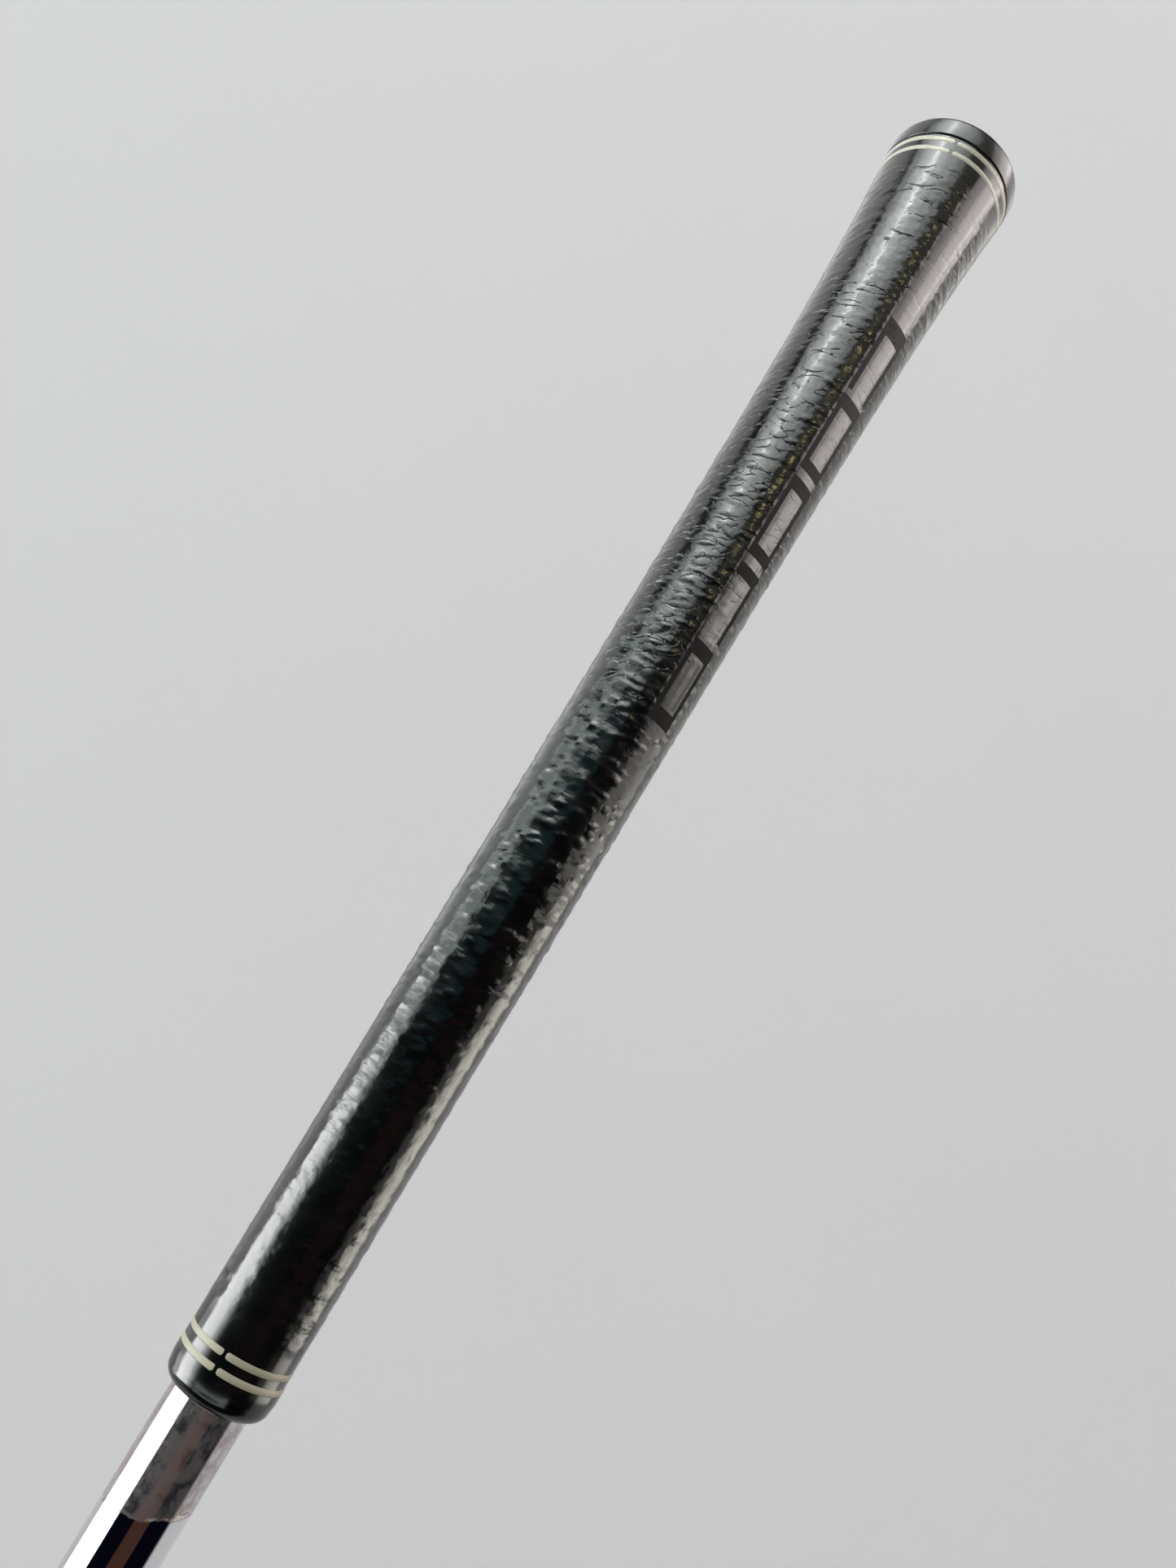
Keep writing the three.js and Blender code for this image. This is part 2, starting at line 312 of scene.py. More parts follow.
def grip_tape():
    """Tape along the shaft, folded over its end and tucked in, its long edges meeting underneath."""
    rim = SHAFT_START - CLEARANCE
    fold = rim - TAPE_THICKNESS
    tuck = SHAFT_START + TAPE_TUCK
    lining = bore_radius(tuck) - CLEARANCE
    profile = [
        (tape_radius(fold), fold),
        (tape_radius(TAPE_END), TAPE_END),
        (shaft_radius(TAPE_END) + CLEARANCE, TAPE_END),
        (shaft_radius(rim) + CLEARANCE, rim),
        (bore_radius(rim) - CLEARANCE, rim),
        (lining, tuck),
        (lining - TAPE_THICKNESS, tuck),
        (bore_radius(fold) - CLEARANCE - TAPE_THICKNESS, fold),
    ]
    radii, stations = (np.array(values)[:, None] for values in zip(*profile))
    angles = np.linspace(TAPE_SEAM_HALF_ANGLE - 180, 180 - TAPE_SEAM_HALF_ANGLE, ROUND)[None, :]
    grid = np.broadcast_arrays(stations, radii, angles)
    faces = loop_faces(len(profile), ROUND, False)
    return new_piece("grip_tape_wrapped", place(*grid), faces, ["grip_tape"])


def ring_limits(ring):
    """The stations at which a painted ring starts and ends."""
    low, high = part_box(f"{ring}_ring_left")
    return BUTT_X - high.x, BUTT_X - low.x


def nick_half_angle(radius):
    """The turn from the mould's parting plane to the end of a ring half."""
    return np.degrees(np.arcsin(SEAM_NICK / 2 / radius))


def ring_half(ring, half):
    """Half of a painted ring: a crowned band that narrows to a rounded end beside each nick."""
    start, end = ring_limits(ring)
    middle, half_width = (start + end) / 2, (end - start) / 2
    radius = sleeve_radius(middle)
    margin = nick_half_angle(radius)
    first = SEAM_ANGLE + (0 if half == "left" else 180)
    angles = np.linspace(first + margin, first + 180 - margin, ROUND // 2)
    ends = [angles[0] + np.degrees(RING_END_ROUND / radius) * step for step in RING_END_STEPS]
    ends += [angles[0] + angles[-1] - angle for angle in ends]
    angles = np.sort(np.concatenate([angles, ends]))
    from_end = np.radians(np.minimum(angles - angles[0], angles[-1] - angles)) * radius
    reach = 1 - np.clip(from_end / RING_END_ROUND, 0, 1)
    narrowing = np.sqrt(1 - RING_END_NARROWING * reach**2)
    across = np.linspace(-1, 1, RING_ROWS)[:, None]
    top = middle + across * half_width * narrowing
    bottom = middle + np.array([[1], [-1]]) * half_width * narrowing
    crown = RING_CROWN * (1 - across**2) * narrowing
    stations = np.concatenate([top, bottom])
    radii = np.concatenate([sleeve_radius(top) + crown, sleeve_radius(bottom) - RING_THICKNESS])
    grid = np.broadcast_arrays(stations, radii, angles[None, :])
    faces = loop_faces(len(stations), len(angles), False)
    node = f"{ring}_ring_{half}"
    return new_piece(f"{node}_painted", place(*grid), faces, [node])


def label_blocks():
    """For each label block: its start, end, window start and window end, as stations, and the window's
    angles. One has lost its end bar and its lower edge to wear."""
    blocks = []
    for number, (first_bar, last_bar) in enumerate(END_BARS, start=1):
        low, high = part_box(f"label_frame_{number}")
        start, end = BUTT_X - high.x, BUTT_X - low.x
        window_end = end + OPEN_BLOCK_GAP if last_bar == 0 else end - last_bar * MM
        window = WINDOW_ANGLES
        if number == WORN_BLOCK:
            window_end = end + OPEN_BLOCK_GAP
            window = WINDOW_ANGLES[0], LABEL_ANGLES[1] + WORN_PAST_EDGE
        blocks.append((start, end, start + first_bar * MM, window_end, window))
    return blocks


def plate(name, stations, angles, filled, node):
    """A thin plate flush with the sleeve, made of the filled cells of a grid."""
    station, angle = np.meshgrid(stations, angles, indexing="ij")
    outside = sleeve_radius(station) + LABEL_PROUD
    inside = outside - LABEL_THICKNESS
    points = np.concatenate([place(station, outside, angle), place(station, inside, angle)])
    count = station.size
    index = np.arange(count).reshape(station.shape)
    padded = np.pad(filled, 1)
    faces = []
    for i, j in zip(*np.nonzero(filled)):
        corners = [int(c) for c in (index[i, j], index[i, j + 1], index[i + 1, j + 1], index[i + 1, j])]
        faces += [corners, [c + count for c in reversed(corners)]]
        neighbours = (padded[i, j + 1], padded[i + 1, j + 2], padded[i + 2, j + 1], padded[i + 1, j])
        for side, neighbour in enumerate(neighbours):
            if not neighbour:
                a, b = corners[side], corners[(side + 1) % 4]
                faces.append([b, a, a + count, b + count])
    used, renumbered = np.unique(np.concatenate(faces), return_inverse=True)
    sizes = np.cumsum([len(face) for face in faces])[:-1]
    faces = [part.tolist() for part in np.split(renumbered, sizes)]
    return new_piece(name, points[used], faces, [node])


def grid_lines(limits, step):
    """Even lines from the first limit to the last, with one at every limit between."""
    parts = []
    for a, b in zip(limits, limits[1:]):
        cells = max(1, round((b - a) / step))
        parts.append(np.linspace(a, b, cells + 1)[:-1])
    return np.concatenate([*parts, limits[-1:]])


def middles(lines):
    return (lines[1:] + lines[:-1]) / 2


def label_frame(number, block):
    start, end, window_start, window_end, window = block
    start, end = start + EDGE_GAP, end - EDGE_GAP
    gap = math.degrees(EDGE_GAP / sleeve_radius(start))
    outer = LABEL_ANGLES[0] + gap, LABEL_ANGLES[1] - gap
    window = window[0] - gap, window[1] + gap
    window_start, window_end = window_start - EDGE_GAP, window_end + EDGE_GAP
    bars = {start, window_start, min(window_end, end), end}
    stations = grid_lines(sorted(bars), LABEL_STEP)
    last_column = min(window[1], outer[1] - LABEL_STEP_ANGLE)
    angles = grid_lines([outer[0], window[0], last_column, outer[1]], LABEL_STEP_ANGLE)
    row_in_window = between(middles(stations), (window_start, window_end))
    column_in_window = between(middles(angles), window)
    filled = ~np.outer(row_in_window, column_in_window)
    node = f"label_frame_{number}"
    return plate(f"{node}_printed", stations, angles, filled, node)


def line_limits(number):
    low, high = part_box(f"label_line_{number}")
    return BUTT_X - high.x, BUTT_X - low.x


def label_line(number, angles):
    start, end = line_limits(number)
    gap = math.degrees(EDGE_GAP / sleeve_radius(start))
    stations = grid_lines([start + EDGE_GAP, end - EDGE_GAP], LABEL_STEP)
    angles = grid_lines([angles[0] + gap, angles[1] - gap], LINE_STEP_ANGLE)
    filled = np.ones((len(stations) - 1, len(angles) - 1), bool)
    node = f"label_line_{number}"
    return plate(f"{node}_printed", stations, angles, filled, node)


def with_walls(lines, edges, half, clear):
    """The lines, less those too near an edge, with a close pair of lines at each edge."""
    edges = np.array(sorted(edges))
    nearest = np.abs(lines[:, None] - edges[None, :]).min(axis=1)
    return np.sort(np.concatenate([lines[nearest > clear], edges - half, edges + half]))


def sleeve_columns(radii):
    """The columns' angles, one row for each radius. The columns beside a ring's nick keep its width."""
    label_edges = [*LABEL_ANGLES, *WINDOW_ANGLES, *LINE_ANGLES[0], *LINE_ANGLES[1]]
    even = np.arange(COLUMNS) * (360 / COLUMNS) - 180 + COLUMNS_TURNED
    fixed = with_walls(even, label_edges, WALL_HALF_ANGLE, WALL_CLEAR_ANGLE)
    seams = np.array([SEAM_ANGLE, SEAM_ANGLE - 180])
    fixed = fixed[np.abs(fixed[:, None] - seams[None, :]).min(axis=1) > SEAM_CLEAR_ANGLE]
    moving = [(seam + side * wall, side) for seam in seams for side in (-1, 1)
              for wall in (-WALL_HALF_ANGLE, WALL_HALF_ANGLE)]
    angle = np.concatenate([fixed, [a for a, _ in moving]])
    side = np.concatenate([np.zeros(len(fixed)), [s for _, s in moving]])
    order = np.argsort(angle + side, kind="stable")
    return angle[order][None, :] + side[order][None, :] * nick_half_angle(radii)[:, None]


def turn_from(angles, centre):
    """The signed turn from a centre angle, between -180 and 180."""
    return (angles - centre + 180) % 360 - 180


def lenses(stations, angles, radii):
    """Low lens-shaped swellings across the grip, in staggered, uneven rows, many with a crease along one
    or both edges. Gives the height, the place in the nearest lens, from 0 on its middle line to 1 at its
    edge and more outside, and the crease's strength at that edge."""
    rng = np.random.default_rng(LENS_SEED)
    height = np.zeros(angles.shape)
    nearest = np.full(angles.shape, LENS_FAR)
    rank = np.full(angles.shape, LENS_FAR + UNCREASED_RANK)
    strength = np.zeros(angles.shape)
    for number, row_centre in enumerate(np.arange(LENSES_START, LENSES_END, LENS_PITCH_ALONG)):
        around = round(2 * math.pi * sleeve_radius(row_centre) / LENS_PITCH_ROUND)
        creased, stretch, kept = next(values for end, *values in LENS_PARTS if row_centre < end)
        kept *= 1 - WORN_OFF * smooth_step(WORN_START, WORN_END, row_centre)
        for k in range(around):
            shift = rng.uniform(-LENS_SHIFT_ALONG, LENS_SHIFT_ALONG)
            station = row_centre + shift * LENS_PITCH_ALONG
            shift = rng.uniform(-LENS_SHIFT_ROUND, LENS_SHIFT_ROUND)
            angle = 360 * (k + number / 2 + shift) / around
            slant = math.radians(rng.normal(LENS_SLANT, LENS_SLANT_SPREAD))
            half_width = LENS_HALF_WIDTH * rng.uniform(*LENS_WIDTHS)
            half_length = LENS_HALF_LENGTH * rng.uniform(*LENS_LENGTHS) * stretch
            swelling = LENS_HEIGHT * rng.uniform(*LENS_HEIGHTS) ** LOW_LENSES * kept
            is_creased = rng.uniform(size=2) < creased
            creases = np.where(is_creased, rng.uniform(*CREASE_STRENGTHS, size=2), 0)
            reach = 2 * half_width + half_length * abs(math.sin(slant))
            rows = np.abs(stations - station) < reach
            along = stations[rows, None] - station
            across = np.radians(turn_from(angles[rows], angle)) * radii[rows, None]
            u = along * math.cos(slant) - across * math.sin(slant)
            v = along * math.sin(slant) + across * math.cos(slant)
            taper = np.clip(1 - (v / half_length) ** 2, LENS_TIP, 1)
            within = np.minimum(np.abs(u) / (half_width * taper), LENS_FAR)
            dome = swelling * np.clip(1 - within**2, 0, 1) * np.sqrt(taper)
            place_rank = within + (0 if creases.any() else UNCREASED_RANK)
            closer = place_rank < rank[rows]
            crease = np.where(u > 0, creases[0], creases[1])
            strength[rows] = np.where(closer, crease, strength[rows])
            nearest[rows] = np.where(closer, within, nearest[rows])
            rank[rows] = np.minimum(rank[rows], place_rank)
            height[rows] = np.maximum(height[rows], dome)
    return height, nearest, strength


def waves(stations, angles):
    """A gentle waviness along the grip. Its crests wander round it and its height comes and goes."""
    s, turn = stations[:, None], np.radians(angles)
    wander = sum(strength * np.sin(count * turn + offset) for strength, count, offset in WAVE_WANDER)
    varying = 1 - WAVES_STEADY
    swell = WAVES_STEADY + varying * np.sin(s / WAVES_SWELL + 2 * np.sin(turn))
    swell *= WAVES_STEADY + varying * smooth_step(WAVES_FULL_START, WAVES_FULL_END, s)
    return WAVE_HEIGHT * swell * np.sin(2 * math.pi * s / WAVE_PITCH + wander)


def texture_zone(stations, angles):
    """1 where the sleeve is textured, less round the labels, and 0 at both ends, by the rings."""
    s, a = stations[:, None], turn_from(angles, 0)
    textured = smooth_step(*TEXTURE_FADE_IN, s) * (1 - smooth_step(*TEXTURE_FADE_OUT, s))
    first, last = PANEL_ANGLES
    panel = smooth_step(first - PANEL_FADE_ANGLE, first + PANEL_FADE_ANGLE, a)
    panel *= 1 - smooth_step(last - PANEL_FADE_ANGLE, last + PANEL_FADE_ANGLE, a)
    panel = panel * (1 - smooth_step(PANEL_END - PANEL_FADE, PANEL_END + PANEL_FADE, s))
    return textured * (1 - PANEL_SMOOTHED * panel)


def pockets(stations, angles, blocks):
    """Depth of the ring grooves and label pockets below the sleeve's surface."""
    s, a = stations[:, None], angles
    depth = np.zeros(a.shape)
    to_seam = np.minimum(np.abs(turn_from(a, SEAM_ANGLE)), np.abs(turn_from(a, SEAM_ANGLE + 180)))
    beyond_nick = to_seam > nick_half_angle(sleeve_radius(s))
    for ring in RINGS:
        start, end = ring_limits(ring)
        groove = between(s, (start - RING_GAP, end + RING_GAP)) & beyond_nick
        depth = np.where(groove, GROOVE_DEPTH, depth)
    for start, end, window_start, window_end, window_angles in blocks:
        window = between(s, (window_start, window_end)) & between(a, window_angles)
        frame_area = between(s, (start, end)) & between(a, LABEL_ANGLES) & ~window
        depth = np.where(frame_area, POCKET_DEPTH, depth)
    for number, limits in enumerate(LINE_ANGLES, start=1):
        line = between(s, line_limits(number)) & between(a, limits)
        depth = np.where(line, POCKET_DEPTH, depth)
    return depth


def grip_sleeve(blocks):
    """The rubber sleeve, textured, with its grooves, pockets and stepped bore. Its rows run along the
    outside, round the lip, back through the bore and round the socket for the cap's skirt."""
    edges = []
    for ring in RINGS:
        start, end = ring_limits(ring)
        edges += [start - RING_GAP, end + RING_GAP]
    for start, end, window_start, window_end, _ in blocks:
        edges += [start, end, window_start, window_end]
    edges += line_limits(1)
    body_start = SLEEVE_START + PARTING_CHAMFER
    body_end = GRIP_LENGTH - LIP_EDGE_RADIUS
    body = with_walls(np.arange(body_start, body_end, ROW_STEP), edges, WALL_HALF, WALL_CLEAR)
    over_tape, on_shaft = (TAPE_END + step for step in BORE_STEP)
    skirt_end, skirt = CAP_SKIRT_END + SKIRT_CLEARANCE, CAP_SKIRT_RADIUS + SKIRT_CLEARANCE
    start_radius = sleeve_radius(SLEEVE_START) - PARTING_CHAMFER
    chamfer = rounded_edge(start_radius, body_start, PARTING_CHAMFER, -90, CHAMFER_STEPS)[:-1]
    closing = [
        *rounded_edge(sleeve_radius(body_end) - LIP_EDGE_RADIUS, body_end, LIP_EDGE_RADIUS, 0),
        (shaft_radius(GRIP_LENGTH) + CLEARANCE, GRIP_LENGTH),
        (shaft_radius(on_shaft) + CLEARANCE, on_shaft),
        (tape_radius(over_tape) + CLEARANCE, over_tape),
        (tape_radius(skirt_end) + CLEARANCE, skirt_end),
        (skirt, skirt_end),
        (skirt, SLEEVE_START),
    ]
    (first_radii, first_stations), (last_radii, last_stations) = zip(*chamfer), zip(*closing)
    radii = np.concatenate([first_radii, sleeve_radius(body), last_radii])
    stations = np.concatenate([first_stations, body, last_stations])
    angles = sleeve_columns(radii)
    on_body = slice(len(chamfer), len(chamfer) + len(body))
    body_angles = angles[on_body]
    domes, place_in_lens, strength = lenses(body, body_angles, radii[on_body])
    zone, height, crease_depth = (np.zeros(angles.shape) for _ in range(3))
    crease_at = np.full(angles.shape, LENS_FAR)
    zone[on_body] = texture_zone(body, body_angles)
    crease_at[on_body] = place_in_lens
    crease_depth[on_body] = strength * zone[on_body]
    height[on_body] = zone[on_body] * (domes + waves(body, body_angles))
    height[on_body] -= pockets(body, body_angles, blocks)
    points = place(stations[:, None] + 0 * angles, radii[:, None] + height, angles)
    faces = loop_faces(len(stations), angles.shape[1], True)
    piece = new_piece("grip_sleeve_moulded", points, faces, ["grip_sleeve"])
    fields = {"texture": zone, "crease_at": crease_at, "crease_depth": crease_depth}
    for name, values in fields.items():
        attribute = piece.data.attributes.new(name, "FLOAT", "POINT")
        attribute.data.foreach_set("value", values.astype(np.float32).ravel())
    return piece


# ---- materials ----

# colours, each with what dust, wear or dirt makes of it; the shaft's brown residue is partly a painted
# reflection
RUBBER, DUSTY_RUBBER = (0.0011, 0.0012, 0.0013), (0.0036, 0.0037, 0.0038)
CAP_RUBBER, SCUFFED_CAP_RUBBER = (0.0028, 0.0029, 0.003), (0.010, 0.010, 0.0102)
CREAM, GRUBBY_CREAM = (0.27, 0.26, 0.208), (0.18, 0.166, 0.12)
FRAME_INK, WORN_FRAME_INK = (0.0105, 0.0085, 0.008), (0.0025, 0.0022, 0.0021)
LINE_INK, WORN_LINE_INK = (0.05, 0.048, 0.045), (0.012, 0.0115, 0.011)
# the residue colour is partly painted reflection: brown reflected light laid on the plating as a film
CHROME, RESIDUE_AND_REFLECTION, TIDE_LINE = (0.72, 0.72, 0.74), (0.27, 0.20, 0.20), (0.55, 0.53, 0.49)
STEEL, STAINED_STEEL = (0.42, 0.42, 0.43), (0.22, 0.19, 0.17)
PAPER, STAINED_PAPER = (0.62, 0.54, 0.36), (0.50, 0.42, 0.27)
CARD, MOTTLED_CARD = (0.399, 0.383, 0.401), (0.414, 0.399, 0.414)

# roughness, from the cleanest places to the most worn
RUBBER_ROUGHNESS = (0.13, 0.21)
CAP_ROUGHNESS = (0.2, 0.34)
PAINT_ROUGHNESS = (0.28, 0.5)
FRAME_INK_ROUGHNESS = (0.6, 0.85)
LINE_INK_ROUGHNESS = (0.55, 0.8)
CHROME_ROUGHNESS = (0.04, 0.16)
STEEL_ROUGHNESS = (0.3, 0.5)
PAPER_ROUGHNESS = (0.75, 0.9)
CARD_ROUGHNESS = 0.9

# how strongly the plain surfaces reflect
RUBBER_IOR = 1.5
CAP_IOR = 1.45
INK_SPECULAR = 0.16
CARD_SPECULAR = 0.2

# how far the labels' age wears the ink by the end of the row
FRAME_INK_AGED = 0.9
LINE_INK_AGED = 0.1

# film of residue on the shaft, its brown tint partly a painted reflection
FILM_LENGTH = 16.4 * MM  # from the mouth
FILM_SLANT = 0.3
FILM_RAGGEDNESS = 2.4 * MM
FILM_EDGE = 0.2 * MM
FILM_STRENGTH = (0.14, 0.42)
FILM_METALLIC = 0.6
TIDE_WIDTH = 1.0 * MM


def add(tree, kind, inputs=None, **settings):
    """A node with these settings; an input is a number or colour, or the socket that feeds it."""
    node = tree.nodes.new(kind)
    for key, value in settings.items():
        setattr(node, key, value)
    for key, value in (inputs or {}).items():
        if isinstance(value, bpy.types.NodeSocket):
            tree.links.new(value, node.inputs[key])
        else:
            node.inputs[key].default_value = value
    return node


def new_material(name):
    material = bpy.data.materials.new(name)
    material.use_nodes = True
    tree = material.node_tree
    return material, tree, tree.nodes["Principled BSDF"]


def scaled_coords(tree, along, across):
    """Object coordinates divided by a feature size along the grip and one across it, in metres."""
    coords = add(tree, "ShaderNodeTexCoord").outputs["Object"]
    scale = (1 / along, 1 / across, 1 / across)
    scaled = add(tree, "ShaderNodeVectorMath", {0: coords, 1: scale}, operation="MULTIPLY")
    return scaled.outputs["Vector"]


def noise(tree, along, across, detail=2.0, roughness=0.5):
    vector = scaled_coords(tree, along, across)
    inputs = {"Vector": vector, "Scale": 1.0, "Detail": detail, "Roughness": roughness}
    return add(tree, "ShaderNodeTexNoise", inputs).outputs["Fac"]


def mapped(tree, value, span, to=(0.0, 1.0)):
    """A smooth step over a span of the value, from the first result to the second."""
    inputs = {"Value": value, "From Min": span[0], "From Max": span[1], "To Min": to[0], "To Max": to[1]}
    return add(tree, "ShaderNodeMapRange", inputs, interpolation_type="SMOOTHSTEP").outputs["Result"]


def maths(tree, operation, *values):
    return add(tree, "ShaderNodeMath", dict(enumerate(values)), operation=operation).outputs["Value"]


def times(tree, a, b):
    return maths(tree, "MULTIPLY", a, b)


def larger(tree, a, b):
    return maths(tree, "MAXIMUM", a, b)


def mixed_colour(tree, factor, *colours):
    """Colours spread evenly over factors from 0 to 1."""
    ramp = add(tree, "ShaderNodeValToRGB", {"Fac": factor})
    elements = ramp.color_ramp.elements
    for between_ends in range(1, len(colours) - 1):
        elements.new(between_ends / (len(colours) - 1))
    for element, colour in zip(elements, colours):
        element.color = (*colour, 1)
    return ramp.outputs["Color"]


def bump(tree, height, distance, normal=None):
    inputs = {"Height": height, "Distance": distance, "Strength": 1.0}
    if normal is not None:
        inputs["Normal"] = normal
    return add(tree, "ShaderNodeBump", inputs).outputs["Normal"]


def surface(tree, shader, colour, roughness, normal):
    """Feeds the shader with these sockets."""
    tree.links.new(colour, shader.inputs["Base Color"])
    tree.links.new(roughness, shader.inputs["Roughness"])
    tree.links.new(normal, shader.inputs["Normal"])


def object_axes(tree):
    coords = add(tree, "ShaderNodeTexCoord").outputs["Object"]
    return add(tree, "ShaderNodeSeparateXYZ", {0: coords}).outputs


def ageing(tree, from_station, to_station, most):
    """0 at one station, rising to the most at another."""
    stretch = (BUTT_X - to_station, BUTT_X - from_station)
    return mapped(tree, object_axes(tree)["X"], stretch, to=(most, 0.0))


def attribute(tree, name):
    return add(tree, "ShaderNodeAttribute", attribute_name=name).outputs["Fac"]


def creases(tree):
    """Fine creases along the edges of the lenses: -1 at the bottom of the deepest and 0 between them."""
    from_edge = maths(tree, "ABSOLUTE", maths(tree, "SUBTRACT", attribute(tree, "crease_at"), 1.0))
    line = mapped(tree, from_edge, (0.0, CREASE_WIDTH), to=(-1.0, 0.0))
    return times(tree, line, attribute(tree, "crease_depth"))


def rubber():
    """Worn black rubber: glossy, with soft ripples, dimples, fine creases, dust and patchy shine."""
    material, tree, shader = new_material("rubber")
    ripple = times(tree, noise(tree, 0.9 * MM, 3.2 * MM), attribute(tree, "texture"))
    dimples = times(tree, noise(tree, 1.5 * MM, 1.3 * MM, detail=1.0), attribute(tree, "texture"))
    grain = noise(tree, 0.16 * MM, 0.16 * MM, detail=3.0)
    normal = bump(tree, ripple, 0.045 * MM)
    normal = bump(tree, dimples, 0.05 * MM, normal)
    normal = bump(tree, creases(tree), 0.1 * MM, normal)
    normal = bump(tree, grain, 0.003 * MM, normal)
    shine = mapped(tree, noise(tree, 5 * MM, 4 * MM, detail=4.0), (0.3, 0.7), to=RUBBER_ROUGHNESS)
    dust = mapped(tree, noise(tree, 1.2 * MM, 2.2 * MM, detail=5.0, roughness=0.65), (0.55, 0.8))
    surface(tree, shader, mixed_colour(tree, dust, RUBBER, DUSTY_RUBBER), shine, normal)
    shader.inputs["IOR"].default_value = RUBBER_IOR
    return material


def cap_rubber():
    """Smoother black rubber with a faint moulded grain and a few dull patches."""
    material, tree, shader = new_material("cap_rubber")
    grain = noise(tree, 0.25 * MM, 0.25 * MM, detail=3.0)
    swell = noise(tree, 2.5 * MM, 3.5 * MM)
    normal = bump(tree, swell, 0.03 * MM)
    normal = bump(tree, grain, 0.004 * MM, normal)
    scuff = mapped(tree, noise(tree, 1.5 * MM, 1.5 * MM, detail=6.0, roughness=0.7), (0.5, 0.75))
    colour = mixed_colour(tree, scuff, CAP_RUBBER, SCUFFED_CAP_RUBBER)
    surface(tree, shader, colour, mapped(tree, scuff, (0.0, 1.0), to=CAP_ROUGHNESS), normal)
    shader.inputs["IOR"].default_value = CAP_IOR
    return material


def ring_paint():
    """Cream enamel, grubby in patches and all over at the mouth, with a slightly uneven surface."""
    material, tree, shader = new_material("ring_paint")
    grime = mapped(tree, noise(tree, 0.8 * MM, 1.6 * MM, detail=5.0, roughness=0.7), (0.45, 0.75))
    grime = larger(tree, grime, ageing(tree, 0, GRIP_LENGTH, 1.0))
    colour = mixed_colour(tree, grime, CREAM, GRUBBY_CREAM)
    normal = bump(tree, noise(tree, 0.5 * MM, 1.0 * MM), 0.02 * MM)
    surface(tree, shader, colour, mapped(tree, grime, (0.0, 1.0), to=PAINT_ROUGHNESS), normal)
    return material


def printed_ink(name, fresh, worn, roughness, aged):
    """Ink printed on rubber, thinned in fine streaks across the grip and more towards the last label."""
    material, tree, shader = new_material(name)
    wear = mapped(tree, noise(tree, 0.5 * MM, 1.4 * MM, detail=5.0, roughness=0.7), (0.45, 0.8))
    wear = larger(tree, wear, ageing(tree, LABELS_START, LABELS_END, aged))
    normal = bump(tree, noise(tree, 0.2 * MM, 0.2 * MM, detail=3.0), 0.004 * MM)
    colour = mixed_colour(tree, wear, fresh, worn)
    surface(tree, shader, colour, mapped(tree, wear, (0.0, 1.0), to=roughness), normal)
    shader.inputs["Specular IOR Level"].default_value = INK_SPECULAR
    return material


def chrome():
    """Plated steel with faint drawing lines. A brownish film of residue runs for a short way past the
    mouth and ends in a pale, ragged, slightly slanting tide line. Its brown tint is partly a painted
    reflection of brown light."""
    material, tree, shader = new_material("chrome")
    axes = object_axes(tree)
    slanted = maths(tree, "MULTIPLY_ADD", axes["Y"], FILM_SLANT, axes["X"])
    edge_noise = noise(tree, 1.5 * MM, 2 * MM, detail=4.0)
    ragged = maths(tree, "MULTIPLY_ADD", edge_noise, FILM_RAGGEDNESS, slanted)
    film_end = BUTT_X - GRIP_LENGTH - FILM_LENGTH + FILM_RAGGEDNESS / 2
    film = mapped(tree, ragged, (film_end - FILM_EDGE, film_end + FILM_EDGE))
    inside_tide = mapped(tree, ragged, (film_end + FILM_EDGE, film_end + TIDE_WIDTH), to=(1.0, 0.0))
    broken = mapped(tree, noise(tree, 3 * MM, 3 * MM, detail=3.0), (0.4, 0.6), to=(0.5, 1.0))
    tide = times(tree, times(tree, film, inside_tide), broken)
    patches = noise(tree, 2.6 * MM, 1.8 * MM, detail=5.0, roughness=0.7)
    patches = mapped(tree, patches, (0.36, 0.62), to=FILM_STRENGTH)
    # where the film lies, its brown tint is partly a painted reflection
    veil_and_reflection = larger(tree, times(tree, film, patches), tide)
    colour = mixed_colour(tree, veil_and_reflection, CHROME, RESIDUE_AND_REFLECTION, TIDE_LINE)
    normal = bump(tree, noise(tree, 9 * MM, 0.12 * MM), 0.0004 * MM)
    surface(tree, shader, colour, mapped(tree, veil_and_reflection, (0.0, 1.0), to=CHROME_ROUGHNESS), normal)
    metallic = mapped(tree, veil_and_reflection, (0.0, 1.0), to=(1.0, FILM_METALLIC))
    tree.links.new(metallic, shader.inputs["Metallic"])
    return material


def raw_steel():
    """Sawn and unplated steel, for the shaft's cut end and its bore."""
    material, tree, shader = new_material("raw_steel")
    stain = mapped(tree, noise(tree, 2 * MM, 1.0 * MM, detail=5.0, roughness=0.7), (0.4, 0.75))
    colour = mixed_colour(tree, stain, STEEL, STAINED_STEEL)
    normal = bump(tree, noise(tree, 3 * MM, 0.08 * MM), 0.01 * MM)
    surface(tree, shader, colour, mapped(tree, stain, (0.0, 1.0), to=STEEL_ROUGHNESS), normal)
    shader.inputs["Metallic"].default_value = 1.0
    return material


def crepe_paper():
    """Masking tape: pale tan paper with fine ridges round the shaft."""
    material, tree, shader = new_material("crepe_paper")
    ridges = noise(tree, 0.35 * MM, 4 * MM, detail=3.0)
    stain = mapped(tree, noise(tree, 5 * MM, 5 * MM, detail=4.0), (0.4, 0.7))
    colour = mixed_colour(tree, stain, PAPER, STAINED_PAPER)
    roughness = mapped(tree, ridges, (0.0, 1.0), to=PAPER_ROUGHNESS)
    surface(tree, shader, colour, roughness, bump(tree, ridges, 0.06 * MM))
    return material


